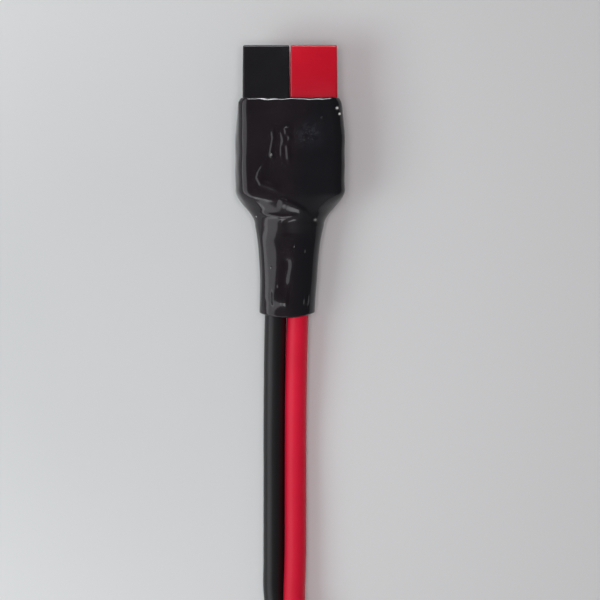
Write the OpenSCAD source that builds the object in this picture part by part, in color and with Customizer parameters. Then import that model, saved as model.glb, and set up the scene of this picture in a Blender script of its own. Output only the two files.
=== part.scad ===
// Two-pole genderless power connector on a bonded black and red wire pair, sleeved in heat-shrink,
// with a coaxial plug on the far end of the lead. The lead lies on a flat surface, folded into a hank.
// Millimetres. +Z is up, and +Y points out of the connector's mating end.
// The origin lies under the middle of the connector head, on the surface that it rests on.

/* [Contact housing] */
// Length of one housing, from the hood's front to the wire entry
housing_l = 24.6; // [23:0.1:28]
// Width and height of one housing
housing_w = 7.9; // [7.5:0.1:9]
// Length of the half-height hood that covers the contact blade
hood_l = 8.7; // [7.5:0.1:9]
// Thickness of the hood's side walls
hood_wall = 1.3; // [1:0.05:1.4]
// Thickness of the hood's roof
hood_roof = 1.15; // [0.8:0.05:1.3]
// Draft of each side of the hood, from its root to its front
hood_draft = 0.1; // [0:0.02:0.2]
// Radius of the housing's long edges
housing_edge_r = 0.4; // [0.2:0.05:0.6]
// Diameter of the wire entry bore
entry_d = 5.5; // [5:0.1:5.8]
// Wall between the roll pin's seat and the wire entry bore
entry_wall = 0.5; // [0.3:0.05:0.8]
// Height of the dovetail tongues that lock housings together
dovetail_h = 0.5; // [0.3:0.05:0.7]
// Width of a dovetail tongue at its root
dovetail_w = 2.6; // [2:0.1:3.2]
// Flare of each side of a dovetail tongue
dovetail_flare = 0.4; // [0.2:0.05:0.6]
// Length of a dovetail tongue
dovetail_l = 7.8; // [5:0.1:9]

/* [Contact] */
// Width of the contact blade
blade_w = 4.2; // [3.6:0.1:4.5]
// Thickness of the contact blade
blade_t = 0.9; // [0.6:0.05:1.1]
// Radius of the blade's rolled nose
nose_r = 1.3; // [1.15:0.05:1.5]
// Distance of the blade's nose behind the hood's front
nose_back = 0.6; // [0.3:0.05:1]
// Outside diameter of the crimp barrel
barrel_d = 3.9; // [3.5:0.1:4.4]
// Length of the crimp barrel
barrel_l = 6.6; // [5:0.1:7.2]
// Depth of the two crimp marks
crimp_depth = 0.35; // [0.1:0.05:0.45]

/* [Leaf spring] */
// Thickness of the leaf spring
spring_t = 0.4; // [0.3:0.05:0.5]
// Width of the leaf spring
spring_w = 3.8; // [3:0.1:4]
// Length of the leaf spring
spring_l = 10.2; // [8:0.1:10.5]
// Rise of the leaf spring at the middle of its bow
spring_rise = 1.1; // [0.6:0.05:1.2]

/* [Roll pin] */
// Diameter of the roll pin that locks the two housings
pin_d = 2.3; // [2:0.05:2.4]
// Wall of the roll pin
pin_wall = 0.4; // [0.3:0.05:0.5]
// Length of the roll pin
pin_l = 6.35; // [5:0.05:7.5]

/* [Wire] */
// Diameter of one insulated wire
wire_d = 3.65; // [3.2:0.05:3.8]
// Diameter of the stranded copper conductor
conductor_d = 2; // [1.6:0.05:2.2]
// Length of bare conductor between crimp barrel and insulation
bare_l = 1.2; // [0.5:0.1:2]

/* [Heat-shrink sleeve] */
// Length of housing that stands out of the sleeve
exposed_l = 8.75; // [8.7:0.05:10]
// Length of the sleeve
sleeve_l = 36.75; // [32:0.25:42]
// Wall of the shrunk sleeve
sleeve_wall = 0.75; // [0.65:0.05:1]
// Swell of each side of the sleeve, from its mouth to the dovetails
sleeve_swell = 0.5; // [0.5:0.05:0.9]
// Outside radius of the sleeve's long edges at the housings
sleeve_edge_r = 2; // [1.5:0.1:2.2]
// Length of the shoulder between housings and neck
shoulder_l = 6; // [5:0.1:8]
// Extra half-width of the neck at the foot of the shoulder
neck_flare = 0.75; // [0.4:0.05:1]

/* [Coaxial plug] */
// Outside diameter of the plug's metal barrel
plug_barrel_d = 5.5; // [5:0.05:5.6]
// Length of the plug's metal barrel outside the handle
plug_barrel_l = 9.5; // [9:0.1:12]
// Wall of the plug's metal barrel
plug_barrel_wall = 0.5; // [0.3:0.05:0.6]
// Bore of the plug's centre contact
plug_bore_d = 2.1; // [1.7:0.05:2.5]
// Wall of the plug's centre contact
plug_contact_wall = 0.35; // [0.25:0.05:0.4]
// Diameter of the plug's handle
plug_handle_d = 10.5; // [10:0.1:12]
// Length of the plug's handle
plug_handle_l = 18; // [16:0.5:24]
// Length of the plug's bend relief
plug_relief_l = 18; // [14:0.5:24]
// Number of ring grooves in the bend relief
plug_relief_grooves = 5; // [3:1:6]
// Depth of the ring grooves
plug_groove_depth = 0.45; // [0.2:0.05:0.5]

/* [Hank and strap] */
// Radius of the hank's end loops
hank_loop_r = 12; // [11:0.5:14]
// Half-length of the hank's straight middle
hank_half_l = 12.6; // [9:0.1:20]
// Distance between the hank's runs
hank_pitch = 4; // [3.9:0.05:4.5]
// Width of the strap
strap_w = 11; // [8:0.5:16]
// Thickness of the strap
strap_t = 0.9; // [0.6:0.05:1.2]

/* [Fits] */
// Clearance between pieces that seat in each other
fit_gap = 0.05; // [0.03:0.01:0.08]
// Clearance of the blade in its passage, on each side
passage_gap = 0.2; // [0.1:0.05:0.25]
// Clearance of the leaf spring behind the blade's nose
nose_gap = 0.1; // [0.05:0.05:0.2]
// Clearance of the leaf spring ahead of the crimp barrel
spring_gap = 0.4; // [0.2:0.05:0.6]
// Slack of the sleeve beside the wires
neck_gap = 0.1; // [0.05:0.05:0.2]

/* [Hidden] */
$fn = 48;
cut = 1;

// Places along the head, from the front of the hoods to the end of the sleeve
front_y = (exposed_l + sleeve_l)/2;
mouth_y = front_y - exposed_l;
sleeve_end_y = mouth_y - sleeve_l;
step_y = front_y - hood_l;
nose_y = front_y - nose_back - nose_r;
spring_front_y = nose_y - nose_gap;
entry_y = spring_front_y - spring_l - spring_gap;
housing_end_y = front_y - housing_l;
dovetail_end_clear = 1.2;
dovetail_y = housing_end_y + dovetail_end_clear + dovetail_l;
pin_y = entry_y + entry_wall + fit_gap + pin_d/2;

// Heights above the resting surface
housing_z = sleeve_wall + fit_gap + dovetail_h;
housing_top_z = housing_z + housing_w;
axis_z = housing_z + housing_w/2;
roof_z = housing_top_z - hood_roof;

// Black is the pole on the left, red the one on the right
pole_pitch = housing_w + fit_gap;
black_x = -pole_pitch/2;
red_x = pole_pitch/2;

// The contact inside a housing
blade_top_z = axis_z + blade_t;
hook_l = 0.5;
blade_corner = 0.5;
passage_w = blade_w + 2*passage_gap;
barrel_front_l = 0.8;
barrel_y = entry_y - fit_gap;
crimp_r = 1.2;
crimp_spacing = barrel_l/3;
barrel_end_y = barrel_y - barrel_front_l - barrel_l;
insulation_y = barrel_end_y - bare_l;

// The conductor's strands: six round one
strand_ring_r = conductor_d/2*0.65;
strand_r = conductor_d/2 - strand_ring_r;

// The wire pair's centre line: x, y, z, half the distance between the wires, and the roll of the pair,
// which is 0 where the wires lie side by side and 90 where red lies on black
pair_half = wire_d/2 + fit_gap/2;
turning_half = pair_half + fit_gap;
lying_z = wire_d/2;
wire_route = [
    [0, insulation_y, axis_z, pole_pitch/2, 0],
    [0, housing_end_y, axis_z, pole_pitch/2, 0],
    [0, housing_end_y - 2.6, axis_z, 3.4, 0],
    [-0.05, housing_end_y - 5.2, axis_z - 0.05, 2.3, 0],
    [-0.1, housing_end_y - 8, axis_z - 0.15, pair_half, 0],
    [-0.25, -14, 4.9, pair_half, 0],
    [-0.4, -18, 4.6, pair_half, 0],
    [-0.6, -23, 4.25, pair_half, 1],
    [-0.75, -29, 3.6, pair_half, 7],
    [-0.85, -36, 2.75, pair_half, 12],
    [-0.9, -43, 2.25, pair_half, 12],
    [-0.9, -50, 2.3, pair_half, 14],
    [-0.9, -57, 2.45, turning_half, 18],
    [-0.9, -64, 2.7, turning_half, 25],
    [-0.8, -70, 3, turning_half, 36],
    [-0.3, -76, 3.4, turning_half, 54],
    [1, -81.3, 3.7, turning_half, 74],
    [2.7, -85.1, 3.7, pair_half, 90]
];
route_xs = [for (p = wire_route) [p[1], p[0]]];
route_zs = [for (p = wire_route) [p[1], p[2]]];

// The hank: three runs held by the strap, and a drop-shaped loop at each end
hank_h = 2*wire_d + fit_gap;
hank_loop_y = -104;
hank_bend_r = 30;
hank_bend_angle = acos((hank_bend_r + hank_pitch/2)/(hank_bend_r + hank_loop_r));
hank_y = hank_loop_y - hank_half_l - (hank_bend_r + hank_loop_r)*sin(hank_bend_angle);
hank_end_r = hank_loop_r + hank_pitch/2 + wire_d/2;
hank_waist_w = 2*hank_pitch + wire_d;
strap_l = strap_w + 2;

// The hank's mouth, where the route ends, and its tail, half a turn round the hank's middle
mouth_point = wire_route[len(wire_route) - 1];
mouth_heading = 30;
tail_y = 2*hank_y - mouth_point.y;
tail_route = [
    [-2.7, tail_y, 3.7, pair_half, 90],
    [-1, tail_y - 3.8, 3.7, pair_half, 90],
    [0.2, tail_y - 8, 4, pair_half, 90],
    [0.65, tail_y - 12.5, 4.7, pair_half, 90],
    [0.65, tail_y - 16, plug_handle_d/2, pair_half, 90],
    [0.65, tail_y - 20, plug_handle_d/2, pair_half, 90]
];

// The plug, on the end of the tail
plug_x = tail_route[len(tail_route) - 1].x;
plug_y = tail_route[len(tail_route) - 1].y;
plug_z = plug_handle_d/2;
plug_relief_end_r = wire_d + fit_gap + 0.75;
plug_neck_r = plug_handle_d/2 - 0.45;
plug_seat_l = 7;
plug_flange_t = 1.2;
plug_collar_r = plug_barrel_d/2 + 0.5;
plug_flange_r = plug_barrel_d/2 + 0.9;
plug_lug_r = 0.7;
plug_lug_l = 3.5;
plug_tip_ring_l = 1;

function smooth(t) = let (c = min(max(t, 0), 1)) c*c*(3 - 2*c);
function mix(a, b, t) = a + (b - a)*t;
function unit(v) = v/norm(v);

// Half the width of the sleeve: it swells from the mouth to the dovetails, falls off over the
// shoulder and draws in along the neck
shoulder_lead = 0.65;
shoulder_y = housing_end_y + shoulder_lead;
neck_draw = 6;
neck_half_w = pair_half + wire_d/2 + neck_gap + sleeve_wall;
neck_half_h = wire_d/2 + fit_gap + sleeve_wall;
function swell(y) = smooth((mouth_y - y)/(mouth_y - dovetail_y));
function necked(y) = smooth((shoulder_y - y)/shoulder_l);
function flare(y) = neck_flare*exp(min(0, y - shoulder_y + shoulder_l)/neck_draw);
function sleeve_half_w(y) =
    mix(pole_pitch/2 + housing_w/2 + fit_gap + sleeve_wall + sleeve_swell*swell(y),
        neck_half_w + flare(y), necked(y));
function sleeve_low(y) =
    mix(dovetail_h*(1 - swell(y)), lookup(y, route_zs) - neck_half_h - flare(y)/2,
        necked(y + shoulder_lead));
function sleeve_top(y) =
    mix(housing_top_z + fit_gap + sleeve_wall, lookup(y, route_zs) + neck_half_h + flare(y)/2,
        necked(y + shoulder_lead));
function sleeve_x(y) = lookup(y, route_xs)*necked(y);

// Columns of points round the sleeve: place on the flat face, from -1 to 1, slope of the skin, and side,
// which is 1 on the upper half and -1 on the lower
slopes = [0, 14, 28, 42, 56, 70, 80, 90];
last_slope = len(slopes) - 1;
sleeve_columns = [
    for (i = [last_slope:-1:0]) [1, slopes[i], 1],
    for (f = [0.5, 0, -0.5]) [f, 0, 1],
    for (i = [0:last_slope]) [-1, slopes[i], 1],
    for (i = [last_slope - 1:-1:0]) [-1, slopes[i], -1],
    for (f = [-0.5, 0, 0.5]) [f, 0, -1],
    for (i = [0:last_slope - 1]) [1, slopes[i], -1]
];

// A corner runs out and down on an arc of radius r, and from its end slope on into a bulging side
function side_bulge(r, h, end) = (h - r*(1 - cos(end)))/cos(end);
function corner_out(slope, r, h, end) =
    let (first = min(slope, end))
    r*sin(first) + side_bulge(r, h, end)*(sin(slope) - sin(first));
function corner_down(slope, r, h, end) =
    let (first = min(slope, end))
    r*(1 - cos(first)) + side_bulge(r, h, end)*(cos(first) - cos(slope));

// The skin of the neck is an oval, flat on top
neck_sag = 0.5;
neck_flat = 1;
crown_slope = 28.6;
function neck_slope(column) =
    abs(column[0]) < 1 ? abs(column[0])*crown_slope
        : crown_slope + (90 - crown_slope)*pow(column[1]/90, 0.8);
function oval_size(slope, a, b) = norm([a*sin(slope), b*cos(slope)]);
function oval_out(slope, a, b) = a*a*sin(slope)/oval_size(slope, a, b);
function oval_down(slope, a, b) = b - b*b*cos(slope)/oval_size(slope, a, b);

function sleeve_end_slope(y) = 88 - 24*sleeve_wall*swell(y);
function sleeve_skin(y, inset) =
    let (half_w = sleeve_half_w(y) - inset)
    let (top = sleeve_top(y) - inset)
    let (low = sleeve_low(y) + inset)
    let (widest = (top + low)/2 - neck_sag*necked(y))
    [for (column = sleeve_columns)
        let (h = column[2] > 0 ? top - widest : widest - low)
        let (end = column[2] > 0 ? sleeve_end_slope(y) : 88)
        let (way = column[0] < 0 ? -1 : 1)
        let (slope = neck_slope(column))
        let (box_x = column[0]*(half_w - corner_out(90, sleeve_edge_r, h, end))
            + way*corner_out(column[1], sleeve_edge_r, h, end))
        let (neck_x = column[0]*neck_flat + way*oval_out(slope, half_w - neck_flat, h))
        let (fall = mix(corner_down(column[1], sleeve_edge_r, h, end),
            oval_down(slope, half_w - neck_flat, h), necked(y)))
        [sleeve_x(y) + mix(box_x, neck_x, necked(y)), y, column[2] > 0 ? top - fall : low + fall]];

// The bore follows the housings' edges, and on the neck the two wires
function sleeve_bore(y) =
    let (half_w = sleeve_half_w(y) - sleeve_wall)
    let (half_h = (sleeve_top(y) - sleeve_low(y))/2 - sleeve_wall)
    let (middle_z = (sleeve_top(y) + sleeve_low(y))/2)
    let (r = mix(housing_edge_r + sleeve_swell*swell(y), half_h - 0.1, necked(y)))
    [for (column = sleeve_columns)
        let (way = column[0] < 0 ? -1 : 1)
        let (out = column[0]*(half_w - r) + way*r*sin(column[1]))
        [sleeve_x(y) + out, y, middle_z + column[2]*(half_h - r + r*cos(column[1]))]];

// Centre line of one wire: side is -1 for black and 1 for red
function wire_line(route, side) =
    [for (p = route) [p.x + side*p[3]*cos(p[4]), p.y, p.z + side*p[3]*sin(p[4])]];

// Rings of points round a line, each square to the way the line runs there
wire_sides = 8;
function heading_at(line, i) = unit(line[min(i + 1, len(line) - 1)] - line[max(i - 1, 0)]);
function wire_rings(line, first, last) =
    [for (i = [0:len(line) - 1])
        let (along = i == 0 ? first : i == len(line) - 1 ? last : heading_at(line, i))
        let (across = unit(cross([0, 0, 1], along)))
        let (up = cross(along, across))
        [for (k = [0:wire_sides - 1])
            let (a = 360*k/wire_sides)
            line[i] + wire_d/2*(cos(a)*across + sin(a)*up)]];

// A closed skin over rings that all have the same number of points
module skin(rings) {
    n = len(rings[0]);
    last = (len(rings) - 1)*n;
    polyhedron(
        points = [for (ring = rings) each ring],
        faces = [
            [for (k = [0:n - 1]) k],
            for (i = [0:len(rings) - 2], k = [0:n - 1])
                [i*n + k, (i + 1)*n + k, (i + 1)*n + (k + 1)%n],
            for (i = [0:len(rings) - 2], k = [0:n - 1])
                [i*n + k, (i + 1)*n + (k + 1)%n, i*n + (k + 1)%n],
            [for (k = [n - 1:-1:0]) last + k]
        ]);
}

// Outlines drawn in X and Z, run back from y by l
module run_back(y, l) {
    translate([0, y, 0]) rotate([90, 0, 0]) linear_extrude(l) children();
}

// Outlines drawn in Y and Z, run across X, centred
module run_across(w) {
    rotate([90, 0, 90]) linear_extrude(w, center = true) children();
}

module rounded_rectangle(w, h, r) {
    square([w, h - 2*r], center = true);
    square([w - 2*r, h], center = true);
    for (x = [-1, 1], z = [-1, 1]) translate([x*(w/2 - r), z*(h/2 - r)]) circle(r);
}

// Dovetail outline that stands on the Y axis of its sketch and widens as it rises along X
module dovetail(gap) {
    root = dovetail_w/2 + 1.5*gap;
    tip = dovetail_w/2 + dovetail_flare + 2.5*gap;
    polygon([[-gap, -root], [dovetail_h + gap, -tip], [dovetail_h + gap, tip], [-gap, root]]);
}

module dovetail_tongues() {
    for (a = [0, -90])
        translate([0, 0, axis_z]) rotate([0, -a, 0])
            run_back(dovetail_y, dovetail_l)
                translate([housing_w/2, 0]) dovetail(0);
}

module dovetail_grooves() {
    groove_l = dovetail_y - housing_end_y + fit_gap;
    for (a = [0, -90])
        translate([0, 0, axis_z]) rotate([0, -a, 0])
            run_back(dovetail_y + fit_gap, groove_l + cut)
                translate([-housing_w/2, 0]) dovetail(fit_gap);
}

// The hood is the upper half of the housing, drawn in towards its front
module hood_outline() {
    half_w = housing_w/2;
    polygon([
        [-half_w, step_y - cut], [-half_w, step_y], [hood_draft - half_w, front_y],
        [half_w - hood_draft, front_y], [half_w, step_y], [half_w, step_y - cut]
    ]);
}

module housing_body() {
    run_back(step_y, housing_l - hood_l)
        translate([0, axis_z]) rounded_rectangle(housing_w, housing_w, housing_edge_r);
    intersection() {
        run_back(front_y, hood_l + cut)
            translate([0, axis_z]) rounded_rectangle(housing_w, housing_w, housing_edge_r);
        translate([0, 0, axis_z + fit_gap]) linear_extrude(housing_w) hood_outline();
    }
}

// The way through a housing: hood cavity, blade passage and wire entry, with the half-round pin seats
module housing_cavities() {
    hood_inner_w = housing_w - 2*hood_wall;
    translate([-hood_inner_w/2, step_y, axis_z - cut])
        cube([hood_inner_w, hood_l + cut, roof_z - axis_z + cut]);
    translate([-passage_w/2, entry_y - cut, axis_z - fit_gap])
        cube([passage_w, step_y - entry_y + 2*cut, roof_z - axis_z + fit_gap]);
    run_back(entry_y, housing_l) translate([0, axis_z]) circle(d = entry_d);
    for (side = [-1, 1])
        translate([side*pole_pitch/2, pin_y, housing_z - dovetail_h - cut])
            cylinder(d = pin_d + 2*fit_gap, h = housing_w + dovetail_h + 2*cut);
}

module housing() {
    difference() {
        union() {
            housing_body();
            dovetail_tongues();
        }
        housing_cavities();
        dovetail_grooves();
    }
}

// A stamped contact: blade with its nose rolled up behind the spring, and a crimped barrel
module contact_blade() {
    blade_end_y = barrel_y - barrel_front_l/2;
    intersection() {
        run_across(blade_w) {
            translate([blade_end_y, axis_z]) square([nose_y - blade_end_y, blade_t]);
            intersection() {
                translate([nose_y, axis_z + nose_r]) difference() {
                    circle(nose_r);
                    circle(nose_r - blade_t);
                }
                translate([nose_y, axis_z]) square(nose_r);
            }
            translate([nose_y + nose_r - blade_t, axis_z + nose_r]) square([blade_t, hook_l]);
        }
        linear_extrude(housing_top_z) polygon([
            [-blade_w/2, blade_end_y], [-blade_w/2, nose_y + nose_r - blade_corner],
            [blade_corner - blade_w/2, nose_y + nose_r], [blade_w/2 - blade_corner, nose_y + nose_r],
            [blade_w/2, nose_y + nose_r - blade_corner], [blade_w/2, blade_end_y]
        ]);
    }
}

module contact() {
    color("silver") {
        contact_blade();
        difference() {
            run_back(barrel_y, barrel_front_l + barrel_l)
                translate([0, axis_z]) circle(d = barrel_d);
            run_back(barrel_y - barrel_front_l, barrel_l + cut)
                translate([0, axis_z]) circle(d = conductor_d + 2*fit_gap);
            for (i = [1, 2])
                translate([0, barrel_y - barrel_front_l - i*crimp_spacing,
                    axis_z + barrel_d/2 + crimp_r - crimp_depth])
                    rotate([0, 90, 0]) cylinder(r = crimp_r, h = barrel_d, center = true);
        }
    }
}

// A bowed leaf that lies on the blade behind its nose
module leaf_spring() {
    bow_r = spring_l*spring_l/(8*spring_rise) + spring_rise/2;
    color("gainsboro") run_across(spring_w)
        translate([spring_front_y - spring_l/2, blade_top_z + fit_gap + spring_rise - bow_r])
            intersection() {
                difference() {
                    circle(bow_r + spring_t);
                    circle(bow_r);
                }
                translate([-spring_l/2, 0]) square([spring_l, bow_r + spring_t]);
            }
}

// Bare strands from the closed end of the barrel to the insulation
module conductor() {
    start_y = barrel_y - barrel_front_l - fit_gap;
    color("peru") run_back(start_y, start_y - insulation_y) translate([0, axis_z]) {
        circle(strand_ring_r);
        for (a = [0:60:300]) rotate(a) translate([strand_ring_r, 0]) circle(strand_r);
    }
}

module roll_pin() {
    slit = 0.5;
    color("lightslategray") translate([0, pin_y, axis_z - pin_l/2]) linear_extrude(pin_l)
        difference() {
            circle(d = pin_d);
            circle(d = pin_d - 2*pin_wall);
            translate([0, -slit/2]) square([pin_d, slit]);
        }
}

// The sleeve is lofted over its own cavity, with a rounded rim at its mouth and at its end
module heat_shrink_sleeve() {
    rim = 0.2;
    shoulder_end_y = shoulder_y - shoulder_l - 2*shoulder_lead;
    stations = [
        mouth_y - rim,
        for (i = [1:6]) mix(mouth_y, dovetail_y, i/6),
        mix(dovetail_y, shoulder_y, 0.5),
        for (i = [0:12]) mix(shoulder_y, shoulder_end_y, i/12),
        for (i = [1:6]) mix(shoulder_end_y, sleeve_end_y + 2*end_bow, i/6)
    ];
    outside = [for (y = stations) sleeve_skin(y, 0)];
    inside = [for (y = stations) sleeve_bore(y)];
    end_y = sleeve_end_y + rim;
    color("black") skin_tube(
        concat([at_y(mouth_y, sleeve_skin(mouth_y - rim, rim))], outside,
            [bowed(sleeve_skin(end_y, 0)), bowed(at_y(sleeve_end_y, sleeve_skin(end_y, rim)))]),
        concat([at_y(mouth_y, inside[0])], inside,
            [bowed(sleeve_bore(end_y)), bowed(at_y(sleeve_end_y, sleeve_bore(end_y)))]));
}

function at_y(y, ring) = [for (p = ring) [p.x, y, p.z]];

// The end of the sleeve is drawn back at both sides
end_bow = 0.8;
function bowed(ring) =
    [for (p = ring) [p.x, p.y + end_bow*pow((p.x - sleeve_x(p.y))/neck_half_w, 2), p.z]];

// A closed skin over an outer and an inner row of rings, joined at both ends
module skin_tube(outer, inner) {
    n = len(outer[0]);
    m = len(outer);
    loop = [for (ring = outer) ring, for (i = [m - 1:-1:0]) inner[i]];
    polyhedron(
        points = [for (ring = loop) each ring],
        faces = [
            for (i = [0:2*m - 1], k = [0:n - 1])
                let (j = (i + 1)%(2*m))
                each [[i*n + k, i*n + (k + 1)%n, j*n + (k + 1)%n],
                    [i*n + k, j*n + (k + 1)%n, j*n + k]]
        ]);
}

module wire(route, side, first, last) {
    skin(wire_rings(wire_line(route, side), first, last));
}

back = [0, -1, 0];
mouth_way = [sin(mouth_heading), -cos(mouth_heading), 0];

// One half of the hank's outline, about the hank's middle
module hank_end() {
    loop_y = hank_loop_y - hank_y;
    stub_l = 8;
    translate([0, loop_y]) circle(hank_end_r);
    polygon([
        [-hank_waist_w/2, 0], [-hank_waist_w/2, hank_half_l],
        [-hank_end_r*cos(35), loop_y - hank_end_r*sin(35)],
        [hank_end_r*cos(35), loop_y - hank_end_r*sin(35)],
        [hank_waist_w/2, hank_half_l], [hank_waist_w/2, 0]
    ]);
    translate([mouth_point.x, mouth_point.y - hank_y]) rotate(mouth_heading)
        translate([-wire_d/2, -stub_l]) square([wire_d, stub_l]);
}

// The outer form of the folded pair, which rises over the strap at its waist
module cord_hank() {
    color("firebrick") translate([0, hank_y, 0]) {
        difference() {
            linear_extrude(hank_h) for (a = [0, 180]) rotate(a) hank_end();
            translate([0, 0, hank_h/2]) cube([4*hank_waist_w, strap_l, hank_h + cut], center = true);
        }
        translate([0, 0, strap_t + fit_gap + hank_h/2]) cube([hank_waist_w, strap_l, hank_h], center = true);
    }
}

module hank_strap() {
    inner_w = hank_waist_w + 2*fit_gap;
    inner_h = hank_h + 2*fit_gap;
    edge_r = 1.2;
    tab_w = 7;
    color("dimgray") run_back(hank_y + strap_w/2, strap_w) translate([0, strap_t + inner_h/2]) {
        difference() {
            rounded_rectangle(inner_w + 2*strap_t, inner_h + 2*strap_t, edge_r);
            square([inner_w, inner_h], center = true);
        }
        translate([0, inner_h/2 + strap_t/2]) square([tab_w, 2*strap_t - strap_t/2]);
    }
}

// Turned outlines on the plug's axis: X is the radius and Y runs from the plug's end to its tip
module turned_plug_part() {
    translate([plug_x, plug_y, plug_z]) rotate([90, 0, 0]) rotate_extrude() children();
}

module plug_handle() {
    pitch = plug_relief_l/(plug_relief_grooves + 1);
    groove_w = pitch*0.4;
    handle_r = plug_handle_d/2;
    handle_end = plug_relief_l + plug_handle_l;
    collar_l = 3;
    round_r = 0.6;
    grip_grooves = 4;
    grip_pitch = 2;
    color("black") difference() {
        turned_plug_part() difference() {
            polygon([
                [0, 0], [plug_relief_end_r - round_r/2, 0], [plug_relief_end_r, round_r/2],
                [plug_neck_r, plug_relief_l], [handle_r - round_r, plug_relief_l + round_r],
                [handle_r, plug_relief_l + 2*round_r], [handle_r, handle_end - collar_l],
                [handle_r, handle_end - round_r], [handle_r - round_r, handle_end], [0, handle_end]
            ]);
            for (i = [1:plug_relief_grooves])
                let (r = mix(plug_relief_end_r, plug_neck_r, i*pitch/plug_relief_l))
                translate([r - plug_groove_depth, i*pitch - groove_w/2]) square([cut, groove_w]);
            for (i = [1:grip_grooves])
                translate([handle_r - plug_groove_depth, handle_end - collar_l - i*grip_pitch])
                    square([cut, grip_pitch/2]);
        }
        turned_plug_part() plug_core(fit_gap);
    }
}

// The pocket that the metal parts fill inside the handle
module plug_core(gap) {
    tip = plug_relief_l + plug_handle_l + cut;
    seat = plug_relief_l + plug_handle_l - plug_seat_l;
    square_between(0, plug_collar_r + gap, seat - gap, tip);
    square_between(0, plug_flange_r + gap, seat - gap, seat + plug_flange_t + gap);
    square_between(0, plug_lug_r + gap, seat - plug_lug_l - gap, seat);
}

module square_between(x0, x1, y0, y1) {
    translate([x0, y0]) square([x1 - x0, y1 - y0]);
}

plug_seat = plug_relief_l + plug_handle_l - plug_seat_l;
plug_tip = plug_relief_l + plug_handle_l + plug_barrel_l;
insulator_r = plug_barrel_d/2 - plug_barrel_wall - fit_gap;
socket_r = plug_bore_d/2 + plug_contact_wall;

module plug_barrel() {
    chamfer = 0.3;
    outer_r = plug_barrel_d/2;
    inner_r = outer_r - plug_barrel_wall;
    face = plug_tip - plug_barrel_l;
    color("silver") turned_plug_part() polygon([
        [inner_r, plug_seat], [plug_flange_r, plug_seat], [plug_flange_r, plug_seat + plug_flange_t],
        [plug_collar_r, plug_seat + plug_flange_t], [plug_collar_r, face], [outer_r, face],
        [outer_r, plug_tip - chamfer], [outer_r - chamfer, plug_tip], [inner_r, plug_tip]
    ]);
}

module plug_insulator() {
    color("dimgray") turned_plug_part() {
        square_between(socket_r + fit_gap, insulator_r, plug_seat, plug_tip - plug_tip_ring_l);
        square_between(plug_bore_d/2 + 4*fit_gap, insulator_r, plug_tip - plug_tip_ring_l, plug_tip);
    }
}

module plug_centre_contact() {
    bottom = plug_seat + plug_flange_t;
    color("gold") turned_plug_part() {
        square_between(plug_bore_d/2, socket_r, bottom, plug_tip - plug_tip_ring_l - fit_gap);
        square_between(0, socket_r, plug_seat, bottom);
        square_between(0, plug_lug_r, plug_seat - plug_lug_l, plug_seat);
    }
}

color("#1c1c1f") translate([black_x, 0, 0]) housing();  // black_housing
color("#c01825") translate([red_x, 0, 0]) housing();  // red_housing
translate([black_x, 0, 0]) contact();  // black_contact
translate([red_x, 0, 0]) contact();  // red_contact
translate([black_x, 0, 0]) leaf_spring();  // black_spring
translate([red_x, 0, 0]) leaf_spring();  // red_spring
translate([black_x, 0, 0]) conductor();  // black_conductor
translate([red_x, 0, 0]) conductor();  // red_conductor
roll_pin();
heat_shrink_sleeve();
color("#1c1c1f") wire(wire_route, -1, back, mouth_way);  // black_wire
color("#c01825") wire(wire_route, 1, back, mouth_way);  // red_wire
cord_hank();
hank_strap();
color("#1c1c1f") wire(tail_route, -1, mouth_way, back);  // black_tail
color("#c01825") wire(tail_route, 1, mouth_way, back);  // red_tail
plug_handle();
plug_barrel();
plug_insulator();
plug_centre_contact();
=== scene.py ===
# %% [markdown]
# # A power adapter cable, dressed for the camera
# This lesson dresses a measured model in Blender. The object is the end of a DC power lead: two
# small plastic contact housings, black and red, held by a glossy heat-shrink sleeve, on a pair of
# round wires that runs out of the picture. What the picture doesn't show is folded into a hank,
# with a coaxial plug on its end. The model's solids arrive as a fixed frame, and every piece made
# here goes where those solids are. The object's sizes are typed in millimetres, and those of the table
# and the lamps in metres.

# %% Load the frame
import math

import bpy
import numpy as np
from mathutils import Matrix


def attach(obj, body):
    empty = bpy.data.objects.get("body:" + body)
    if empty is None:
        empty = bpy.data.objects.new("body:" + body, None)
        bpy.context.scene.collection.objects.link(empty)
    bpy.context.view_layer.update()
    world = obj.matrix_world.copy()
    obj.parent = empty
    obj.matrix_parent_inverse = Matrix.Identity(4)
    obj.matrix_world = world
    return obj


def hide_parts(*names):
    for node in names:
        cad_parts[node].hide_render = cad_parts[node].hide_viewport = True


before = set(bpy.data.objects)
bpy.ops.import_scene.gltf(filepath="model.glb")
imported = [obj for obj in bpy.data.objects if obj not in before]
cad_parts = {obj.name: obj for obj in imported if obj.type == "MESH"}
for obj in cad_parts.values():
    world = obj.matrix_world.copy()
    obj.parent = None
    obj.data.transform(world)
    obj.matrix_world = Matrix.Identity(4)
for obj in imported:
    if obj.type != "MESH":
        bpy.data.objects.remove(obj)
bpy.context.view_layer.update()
MM = 0.001
scene = bpy.context.scene

# %% [markdown]
# ## The camera
# The picture was taken from straight above, with the connector's mating end at the top. Six pixels
# make a millimetre on the housings' upper faces, so the 600 pixel frame is 100 mm wide there. A long
# lens keeps the sides of the part hidden, as they are in the picture. The camera comes first, because
# what it sees decides how much room the folded lead may take.

# %% Camera
UPPER_FACE_Z = 9.2
FRAME_MM = 100.0
PICTURE_MIDDLE = (1.67, -19.75)
LENS, SENSOR = 150.0, 36.0


def only(*pieces):
    """Select these objects and nothing else, and make the first one active."""
    bpy.ops.object.select_all(action="DESELECT")
    for piece in pieces:
        piece.select_set(True)
    bpy.context.view_layer.objects.active = pieces[0] if pieces else None


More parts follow.
